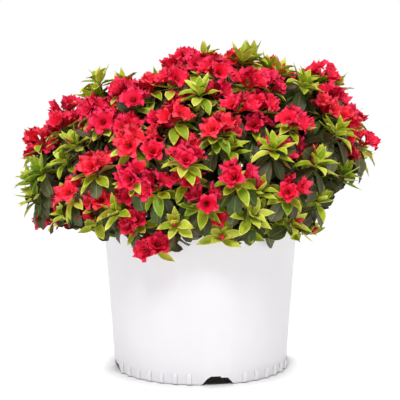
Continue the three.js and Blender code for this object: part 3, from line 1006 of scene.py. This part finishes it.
def clears_blossom(points):
    """Whether a placed leaf keeps out of the blossoms."""
    far = points[np.argsort(((points - points[0]) ** 2).sum(1))[-len(points) // 3:]]
    return all(blossom_tree.find(spot)[2] >= LEAF_TO_BLOSSOM for spot in (points.mean(0), far.mean(0)))


def put_leaf(kind, tones, draw, root, outward, upward, size):
    """One leaf from its root, its upper side turned towards a direction, where nothing is in its way."""
    side = upward.cross(outward)
    if side.length < 1e-3:
        side, _ = across(outward)
    side.normalize()
    joined, shapes = kind
    shape = pick(draw, shapes)
    wide = size * (0.9 + 0.2 * draw())
    points = placed(shape, side, outward.cross(side), outward, root, (wide, size, size))
    if clears_pot(points) and clears_blossom(points):
        joined.add(shape, points, 2 * pick(draw, tones))


def put_blossom(draw, foot, facing, size, tone, truss):
    """One blossom with its stamens, turned about its axis, where no other truss's blossom is in its way."""
    middle = foot + facing * (14 * size)
    if any(other != truss and (middle - spot).length < TRUSS_TO_TRUSS for spot, other in blossom_spots):
        return False
    side = leaning(facing, pi / 2, 2 * pi * draw())
    lie = (side, facing.cross(side), facing, foot, (size, size, size))
    shape = pick(draw, blossom_shapes)
    points = placed(shape, *lie)
    if not clears_pot(points, 0.6):
        return False
    blossom_spots.append((middle, truss))
    (upper_petals if foot.z > UPPER_BLOSSOM else lower_petals).add(shape, points, 3 * tone)
    brush = pick(draw, stamen_shapes)
    stamens.add(brush, placed(brush, *lie))
    return True


def lie_of(tip):
    """How low a tip is, from 0 to 1, and the way that its blossom and leaves face."""
    low = clamp((HEART.z - 5 - tip.point.z) / 60, 0, 1)
    return low, (tip.facing + UP * (0.95 - 0.55 * low)).normalized()


def level_out(outward):
    """The way that an old leaf points, hardly above level."""
    outward.z = min(outward.z, OLD_LEAF_RISE)
    return outward.normalized()


def dress_blossom(tip, seed):
    """A shoot's truss of blossom, or its buds."""
    draw = seeded(seed)
    _, facing = lie_of(tip)
    first_turn = 2 * pi * draw()
    tip_size = 1 if tip.order == 1 else FINE_SIZE
    open_blossoms = 0
    if tip.blooms:
        large = FULL_TRUSS if tip.full else LARGE_TRUSS
        count = large if draw() < LARGE_TRUSS_SHARE else SMALL_TRUSS
        # Trusses low on the crown take the darker tones, painted shade under the crown.
        tone = int(draw() * 3) if tip.point.z > 190 else 3 if draw() < 0.5 else 1
        for k in range(count):
            lean = radians(30 + 22 * draw() if k or count < FULL_TRUSS else 8)
            turn = first_turn + 2 * pi * k / (count - (count == FULL_TRUSS)) + 0.4 * draw()
            aim = leaning(facing, lean, turn)
            foot = tip.point - facing * 6 + aim * 1.5
            open_blossoms += put_blossom(draw, foot, aim, tip_size * (0.76 + 0.16 * draw()), tone, seed)
        tip.blooms = open_blossoms > 0
    elif draw() < BUDS_SHARE:
        for k in range(1 + int(2 * draw())):
            aim = leaning(facing, radians(8 + 22 * draw()), first_turn + 2.2 * k)
            size = 0.7 + 0.35 * draw()
            points = placed(bud, *across(aim), aim, tip.point - facing * 2, (size, size, size))
            if clears_pot(points):
                buds.add(bud, points)


def dress_leaves(tip, seed):
    """The new leaves in a rosette round a shoot's end, and the old ones that hang below them."""
    draw = seeded(seed)
    inner, blooms = tip.order == 3, tip.blooms
    low, facing = lie_of(tip)
    first_turn = 2 * pi * draw()
    tone_family = draw()
    lime = (0, 1, 2) if tone_family < 0.55 else (0, 2) if tone_family < 0.8 else (1, 3)
    dark = (0, 1, 2, 3) if draw() < 0.7 else (1, 4)
    tip_size = 1 if tip.order == 1 else FINE_SIZE
    if not inner:
        count = (ROSETTE_FULL if tip.full else ROSETTE_BLOOM) if blooms else ROSETTE_PLAIN
        for i in range(count):
            share = i / (count - 1)
            lean = radians((68 + 26 * share) if blooms else (16 + 74 * share)) + 0.24 * (draw() - 0.5)
            turn = first_turn + i * GOLDEN_ANGLE + 0.25 * draw()
            outward = (leaning(facing, lean, turn) - UP * (0.12 * share)).normalized()
            size = 0.94 + 0.26 * draw() if blooms else 0.6 + 0.5 * sin(pi * (0.14 + 0.5 * share))
            root = tip.point - facing * (6.5 + 5 * share if blooms else 1 + 5 * share) + outward * 0.6
            put_leaf(new_kind, lime, draw, root, outward, facing, tip_size * size)

    count = 5 if inner else 6 + int(3 * draw())
    for i in range(count):
        turn = first_turn + 1.3 + i * GOLDEN_ANGLE
        lean = radians(84 + 34 * draw())
        sag = 0.25 if inner else (0.35 + 0.5 * draw()) * (1 - 0.5 * low)
        outward = level_out(leaning(facing, lean, turn) - UP * sag)
        root = tip.point - facing * (6.5 + 2.2 * i) + outward * 0.8
        put_leaf(old_kind, dark, draw, root, outward, facing, tip_size * (0.88 + 0.26 * draw()))


def dress_twig(way, seed):
    """The older leaves along a twig."""
    draw = seeded(seed)
    length = way.length
    first_turn = draw() * 6
    reach = TWIG_LEAVES_FROM * length
    i = 0
    while reach < length - TWIG_LEAVES_END:
        share = reach / length
        direction = way.along(share)
        lean = radians(58 + 28 * draw())
        outward = level_out(leaning(direction, lean, first_turn + i * GOLDEN_ANGLE) - UP * 0.22)
        upward = (direction + UP * 0.6).normalized()
        root = way.at(share) + outward
        put_leaf(old_kind, (0, 1, 3), draw, root, outward, upward, 0.78 + 0.24 * draw())
        reach += TWIG_LEAVES_STEP * (0.85 + 0.3 * draw())
        i += 1


for index, tip in enumerate(shrub.tips):
    if tip.order < 3:
        dress_blossom(tip, 20000 + index)
blossom_tree = kdtree.KDTree(len(blossom_spots))
for index, (spot, truss) in enumerate(blossom_spots):
    blossom_tree.insert(spot, index)
blossom_tree.balance()
for index, tip in enumerate(shrub.tips):
    dress_leaves(tip, 30000 + index)
for index, (way, radii, order) in enumerate(shrub.woods):
    tube = swept(way, *radii, 6, 7)
    twigs.add(tube, tube[0], 0 if order < 2 else 1)
    if order > 0:
        dress_twig(way, 50000 + index)

foliage_nodes = [f"foliage_{mass.name}" for mass in masses]
for name, joined, finishes, slot in (
    ("new_leaves", new_leaves, new_leaf_finishes, "foliage"),
    ("old_leaves", old_leaves, old_leaf_finishes, "foliage"),
    ("blossom_petals_upper", upper_petals, petal_finishes, "foliage"),
    ("blossom_petals_lower", lower_petals, petal_finishes, "foliage"),
    ("blossom_stamens", stamens, stamen_finishes, "foliage"),
    ("flower_buds", buds, bud_finishes, "foliage"),
    ("twigs", twigs, twig_finishes, "bark"),
):
    joined.finish(name, finishes, slot, foliage_nodes)

# -------------------- stem and boughs


def bark_finish():
    """Grey-brown bark with lengthwise fissures."""
    material, tree, shader = new_material("bark")
    place = node(tree, "TexCoord", output="Object")
    stretched = node(tree, "Mapping", {"Vector": place, "Scale": (1, 1, 0.25)}, "Vector")
    grain = node(tree, "TexNoise", {"Vector": stretched, "Scale": 420, "Detail": 6}, "Fac")
    colour = toned(tree, grain, (0.35, (70, 52, 40)), (0.68, (142, 118, 96)))
    normal = bumped(tree, grain, 0.7, FINE_BUMP)
    fill(tree, shader, {"Base Color": colour, "Roughness": 0.88, "Normal": normal})
    return material


bark = bark_finish()


def make_trunk():
    """The short woody stem with its root flare and ridged bark."""
    profile = [(0, STEM_PROFILE[0][1])]
    for (r0, z0), (r1, z1) in zip(STEM_PROFILE, STEM_PROFILE[1:]):
        profile += [(r0 + (r1 - r0) * k / 3, z0 + (z1 - z0) * k / 3) for k in range(3)]
    bm = bmesh.new()
    spun(bm, profile + [STEM_PROFILE[-1]], 40)
    for vert in bm.verts:
        x, y, z = vert.co
        if hypot(x, y) < 1 or z < STEM_PROFILE[0][1] + 0.1:
            continue
        turn = atan2(y, x)
        flare = clamp((196 - z) / 8, 0, 1)
        roots = 0.1 * flare * cos(5 * turn + 0.7)
        ridge = 0.07 * ripple(cos(turn) * 2.6, sin(turn) * 2.6, z * 0.06)
        fine_ridge = 0.05 * ripple(cos(turn) * 7, sin(turn) * 7, z * 0.2)
        grow = 1 + roots + ridge + fine_ridge
        vert.co.x, vert.co.y = x * grow, y * grow
    mesh = mesh_in_metres(bm, "woody_stem")
    mesh.shade_smooth()
    mesh.materials.append(bark)
    add_piece("woody_stem", mesh, ["stem"])


make_trunk()

boughs = Joined()
for mass in masses:
    low = mass.rise < 20
    start = Vector((0, 0, 197 + 5 * (mass.index % 2) if low else 206))
    leave = heading(mass.azimuth, 32 if low else mass.rise + 5)
    way = bend(start, leave, mass.foot, mass.axis)
    limb = swept(way, LIMB_RADII[0] * 1.05, LIMB_RADII[1] * 1.03, 14, 26, 0.16, mass.seed)
    boughs.add(limb, limb[0])
boughs.finish("boughs", [bark], "bark", [f"bough_{mass.name}" for mass in masses])

# -------------------- pot


def pot_finish():
    """White moulded plastic with a satin face: faint clouding and a very fine grain."""
    material, tree, shader = new_material("white pot plastic")
    place = node(tree, "TexCoord", output="Object")
    cloud = node(tree, "TexNoise", {"Vector": place, "Scale": 14, "Detail": 4}, "Fac")
    colour = toned(tree, cloud, (0.3, (227, 225, 229)), (0.7, (233, 231, 234)))
    gloss = node(tree, "MapRange", {"Value": cloud, "To Min": 0.34, "To Max": 0.46}, "Result")
    grain = node(tree, "TexNoise", {"Vector": place, "Scale": 900}, "Fac")
    normal = bumped(tree, grain, 0.06, 0.0005)
    fill(tree, shader, {"Base Color": colour, "Roughness": gloss, "Normal": normal})
    return material


def extruded(bm, outline, shift):
    """A prism from a flat outline to where a shift takes it: its vertices."""
    verts = [bm.verts.new(point) for point in outline]
    face = bm.faces.new(verts)
    grown = bmesh.ops.extrude_face_region(bm, geom=[face])["geom"]
    moved = [part for part in grown if isinstance(part, bmesh.types.BMVert)]
    bmesh.ops.translate(bm, vec=shift, verts=moved)
    return verts + moved


def add_rib(bm, azimuth):
    """One short rib that stands out of the wall's foot and dies into it at its top, in metres."""
    low, shoulder, top = (pot_radius(z) for z in (RIB_LOW, RIB_SHOULDER, RIB_HEIGHT))
    section = [
        (low - 1.1, RIB_LOW), (low + RIB_PROUD, RIB_LOW), (shoulder + RIB_PROUD, RIB_SHOULDER),
        (top - 0.4, RIB_HEIGHT), (top - 1.1, RIB_HEIGHT),
    ]
    outline = [(radius * MM, -RIB_WIDTH / 2 * MM, z * MM) for radius, z in section]
    verts = extruded(bm, outline, (0, RIB_WIDTH * MM, 0))
    bmesh.ops.recalc_face_normals(bm, faces=list({f for vert in verts for f in vert.link_faces}))
    turned(bm, verts, azimuth)
    edges = list({e for vert in verts for e in vert.link_edges})
    bmesh.ops.bevel(bm, geom=edges, offset=1.0 * MM, segments=3, profile=0.5, affect="EDGES", material=-1)


def make_pot():
    """The thin-walled pot: rounded foot, rolled lip, drain notches and stiffening ribs round the foot."""
    foot, wall, lip, top = POT_FOOT_RADIUS, POT_WALL_TOP_RADIUS, POT_LIP_RADIUS, POT_HEIGHT
    inner, under_lip = wall - POT_WALL, top - POT_LIP_HEIGHT
    profile = [
        (0, 1.2), (90, 1.2), (93, 0), (foot - 3.6, 0), (foot - 2.2, 0.4), (foot - 0.9, 1.2),
        (foot - 0.2, 2.2), (foot + 0.1, 3.4), (wall - 0.05, under_lip - 0.6), (wall + 0.5, under_lip),
        (lip - 1, under_lip + 0.7), (lip - 0.2, under_lip + 1.4), (lip, under_lip + 2.4), (lip, top - 1.6),
        (lip - 0.4, top - 0.6), (lip - 1.3, top), (lip - 2.6, top), (lip - 3.2, top - 0.8),
        (inner + 0.4, under_lip + 2.4), (inner, under_lip), (foot - POT_WALL, POT_FLOOR), (0, POT_FLOOR),
    ]
    bm = bmesh.new()
    spun(bm, profile, POT_SIDES)
    shell = in_scene("nursery_pot", mesh_in_metres(bm, "nursery_pot"))

    bm = bmesh.new()
    for azimuth in NOTCHES:
        outline = [(foot + NOTCH_START, x, z) for x, z in NOTCH_OUTLINE]
        turned(bm, extruded(bm, outline, (-NOTCH_DEPTH - NOTCH_START, 0, 0)), azimuth)
    bmesh.ops.recalc_face_normals(bm, faces=bm.faces[:])
    cutter = in_scene("notch cutter", mesh_in_metres(bm, "notch cutter"))
    notch = shell.modifiers.new("drain notches", "BOOLEAN")
    notch.operation, notch.object, notch.solver = "DIFFERENCE", cutter, "EXACT"
    graph = bpy.context.evaluated_depsgraph_get()
    bm = bmesh.new()
    bm.from_mesh(bpy.data.meshes.new_from_object(shell.evaluated_get(graph)))
    shell.modifiers.clear()
    bpy.data.objects.remove(cutter)
    bpy.data.objects.remove(shell)

    for quarter in range(4):
        for i in range(RIBS_PER_QUARTER):
            add_rib(bm, NOTCHES[0] + 90 * quarter + (i + 2) * RIB_PITCH)
    mesh = bpy.data.meshes.new("nursery_pot")
    bm.to_mesh(mesh)
    bm.free()
    mesh.materials.clear()
    mesh.materials.append(pot_finish())
    mesh.shade_smooth()
    mesh.set_sharp_from_angle(angle=radians(40))
    add_piece("nursery_pot", mesh, ["pot"])


make_pot()

# -------------------- potting mix


def mulch_finish(name, dark, light, grain):
    """A dull, crumbly finish."""
    return finish(name, dark, light, grain, 0.95, 0.8, 0.3)


def inside_pot(z):
    """The radius of what fills the pot at a height."""
    return pot_radius(z) - POT_WALL - CLEARANCE


def soil_height(radius):
    """The height of the mix's domed top, before its lumps."""
    return SOIL_TOP - SOIL_DOME * clamp((radius - 30) / 80, 0, 1)


def add_drain_plug(bm, azimuth):
    """The mix that shows in a drain notch, close behind the wall, its lower edge arched up; it is painted
    darker than the rest, as shade.
    """
    earlier = set(bm.faces)
    made = bmesh.ops.create_grid(bm, x_segments=16, y_segments=5, size=0.5)["verts"]
    for vert in made:
        over, rise = vert.co.x * PLUG_WIDTH, vert.co.y + 0.5
        aside = over * (1 - 0.42 * rise**1.5)
        lump = ripple(over * 0.4, rise * 3, azimuth) * 0.4
        reach = POT_FOOT_RADIUS - POT_WALL - 0.9 - 0.4 * rise + lump
        low = PLUG_LOW + PLUG_ARCH * (1 - (over / (PLUG_WIDTH / 2)) ** 2)
        vert.co = (sqrt(reach**2 - aside**2), aside, low + (PLUG_HIGH - low) * rise)
    turned(bm, made, azimuth)
    bmesh.ops.solidify(bm, geom=[face for face in bm.faces if face not in earlier], thickness=1.5)
    plug = [face for face in bm.faces if face not in earlier]
    bmesh.ops.recalc_face_normals(bm, faces=plug)
    # The plug takes the second finish, painted darker as shade.
    for face in plug:
        face.material_index = 1


def make_soil():
    """Potting mix up to a little under the lip, with a crumbly top."""
    low = POT_FLOOR + CLEARANCE
    edge = SOIL_TOP - SOIL_DOME
    across_top = inside_pot(edge) - 0.4
    rings = 22
    profile = [(0, low), (inside_pot(low) - 0.2, low), (across_top, edge)]
    for ring in range(1, rings + 1):
        radius = across_top * (1 - ring / rings)
        profile.append((radius, soil_height(radius)))
    bm = bmesh.new()
    spun(bm, profile, 72)
    for vert in bm.verts:
        x, y, z = vert.co
        radius = hypot(x, y)
        if z > edge - 1 and radius < inside_pot(edge) - 3:
            lump = ripple(x * 0.09, y * 0.09, 3) * 1.5
            lump += ripple(x * 0.35, y * 0.35, 7) * 0.9
            vert.co.z = min(z + lump, SOIL_TOP + 1.2) if radius > 20 else z - 0.4
    for azimuth in NOTCHES:
        add_drain_plug(bm, azimuth)
    mesh = mesh_in_metres(bm, "potting_mix")
    mesh.shade_smooth()
    mesh.materials.append(mulch_finish("potting mix", (18, 14, 12), (40, 31, 25), 300))
    # The second finish is the mix painted darker as shade, for the notches.
    mesh.materials.append(mulch_finish("shaded potting mix", (9, 8, 7), (20, 17, 15), 300))
    add_piece("potting_mix", mesh, ["soil"])


def strew_chips():
    """Chips of bark on the mix."""
    draw = seeded(610)
    bm = bmesh.new()
    bmesh.ops.create_cube(bm, size=1)
    bmesh.ops.subdivide_edges(bm, edges=bm.edges[:], cuts=1, use_grid_fill=True)
    noise.seed_set(610)  # or noise_vector would go by the clock
    for vert in bm.verts:
        vert.co += noise.noise_vector(vert.co * 2.3) * 0.24
    chip = shape_of(bm)
    chips = Joined()
    for _ in range(CHIPS):
        radius = CHIPS_FROM + (CHIPS_TO - CHIPS_FROM) * sqrt(draw())
        turn = 2 * pi * draw()
        height = soil_height(radius) + 0.5 + 1.6 * draw()
        outward = heading(360 * draw(), 30 * (draw() - 0.5))
        side = leaning(outward, pi / 2, 0.9 * (draw() - 0.5))
        size = (3 + 3.5 * draw(), 1.4 + 1.4 * draw(), 5 + 8 * draw())
        spot = Vector((radius * cos(turn), radius * sin(turn), height))
        points = placed(chip, side, outward.cross(side), outward, spot, size)
        chips.add(chip, points, int(3 * draw()))
    chip_finishes = [
        mulch_finish("chip dark", (52, 36, 26), (84, 60, 42), 260),
        mulch_finish("chip mid", (84, 60, 42), (122, 90, 62), 260),
        mulch_finish("chip pale", (112, 86, 62), (150, 120, 88), 260),
    ]
    chips.finish("bark_chips", chip_finishes, "potting_mix", ["soil"])


make_soil()
strew_chips()

# -------------------- stage, light and camera

# The floor's own glow, painted light, and how it fades round two places: a painted contact shadow close
# round the pot, and painted light behind it where the plant's shadow would fall. Each gives the place,
# between which distances, and from what share to what.
FLOOR_GLOW = 0.35
FLOOR_PAINTED_SHADOW_AND_LIGHT = [
    ((0, -14), (POT_FOOT_RADIUS - 2, POT_FOOT_RADIUS + 26), (0, 1)),
    ((20, 170), (130, 270), (2.1, 1)),
]

# The lights, in metres, watts and degrees. The backdrop gives only a share of the light it seems to.
KEY_PLACE = Vector((-0.25, -1.7, 1.9))
KEY_TARGET = Vector((0, 0, 0.28))
KEY_SIZE = 0.7
KEY_POWER = 28.5
OVERHEAD_POWER = 1.05
OVERHEAD_SPREAD = 34
OVERHEAD_TILT = (16, -3, 0)
BACKDROP_LIGHT = 0.36

# The camera's place in metres, how far it looks down in degrees, its lens and its framing.
CAMERA_PLACE = (0, -1.212, 0.302)
CAMERA_DIP = 4.97
CAMERA_LENS = 92.6
CAMERA_SHIFT = -0.00125
CAMERA_RANGE = (0.05, 50)


def make_stage():
    """A white floor that glows, painted dimmer close round the pot as a contact shadow and brighter behind
    it to wash out the plant's shadow.
    """
    mesh = bpy.data.meshes.new("studio_floor")
    bm = bmesh.new()
    bmesh.ops.create_grid(bm, x_segments=2, y_segments=2, size=20)
    bm.to_mesh(mesh)
    bm.free()
    paper = finish("studio floor", (250, 250, 251), (253, 253, 254), 2, 0.9, 0, 0.2)
    tree = paper.node_tree
    place = node(tree, "TexCoord", output="Object")
    glow = node(tree, "Math")
    glow.operation = "MULTIPLY"
    for socket, ((x, y), (near, far), (first, last)) in enumerate(FLOOR_PAINTED_SHADOW_AND_LIGHT):
        centred = node(tree, "VectorMath", {0: place, 1: (x * MM, y * MM, 0)})
        centred.operation = "SUBTRACT"
        away = node(tree, "VectorMath", {0: centred.outputs["Vector"]})
        away.operation = "LENGTH"
        span = {"From Min": near * MM, "From Max": far * MM, "To Min": first, "To Max": last}
        fade = node(tree, "MapRange", {"Value": away.outputs["Value"], **span}, "Result")
        fill(tree, glow, {socket: fade})
    # The glow paints a contact shadow round the pot and light where the plant's shadow falls behind it.
    emission = {"Emission Color": glow.outputs["Value"], "Emission Strength": FLOOR_GLOW}
    fill(tree, tree.nodes["Principled BSDF"], emission)
    mesh.materials.append(paper)
    floor = in_scene("studio_floor", mesh)


def add_lights():
    """A soft key light from above the camera, and a broad overhead light."""
    key = bpy.data.lights.new("key", "AREA")
    key.shape, key.size, key.energy = "DISK", KEY_SIZE, KEY_POWER
    light = in_scene("key", key)
    light.location = KEY_PLACE
    light.rotation_euler = (KEY_TARGET - KEY_PLACE).to_track_quat("-Z", "Y").to_euler()
    overhead = bpy.data.lights.new("overhead", "SUN")
    overhead.energy, overhead.angle = OVERHEAD_POWER, radians(OVERHEAD_SPREAD)
    in_scene("overhead", overhead).rotation_euler = [radians(angle) for angle in OVERHEAD_TILT]


def studio_world():
    """A white backdrop that lights the plant less brightly than it looks."""
    world = bpy.data.worlds.new("studio")
    world.use_nodes = True
    tree = world.node_tree
    white = (1, 1, 1, 1)
    glow = fill(tree, tree.nodes["Background"], {"Color": white, "Strength": BACKDROP_LIGHT})
    backdrop = node(tree, "Background", {"Color": white}, "Background")
    seen = node(tree, "LightPath", output="Is Camera Ray")
    either = node(tree, "MixShader", {"Fac": seen, 1: glow.outputs["Background"], 2: backdrop}, "Shader")
    fill(tree, tree.nodes["World Output"], {"Surface": either})
    return world


def add_camera():
    """The camera that faces the plant's front."""
    lens = bpy.data.cameras.new("camera")
    lens.sensor_width, lens.lens, lens.shift_x = 36, CAMERA_LENS, CAMERA_SHIFT
    lens.clip_start, lens.clip_end = CAMERA_RANGE
    camera = in_scene("camera", lens)
    camera.location = CAMERA_PLACE
    camera.rotation_euler = (radians(90 - CAMERA_DIP), 0, 0)
    return camera


make_stage()
add_lights()
bpy.context.scene.world = studio_world()
bpy.context.scene.view_settings.view_transform = "Standard"
bpy.context.scene.camera = add_camera()
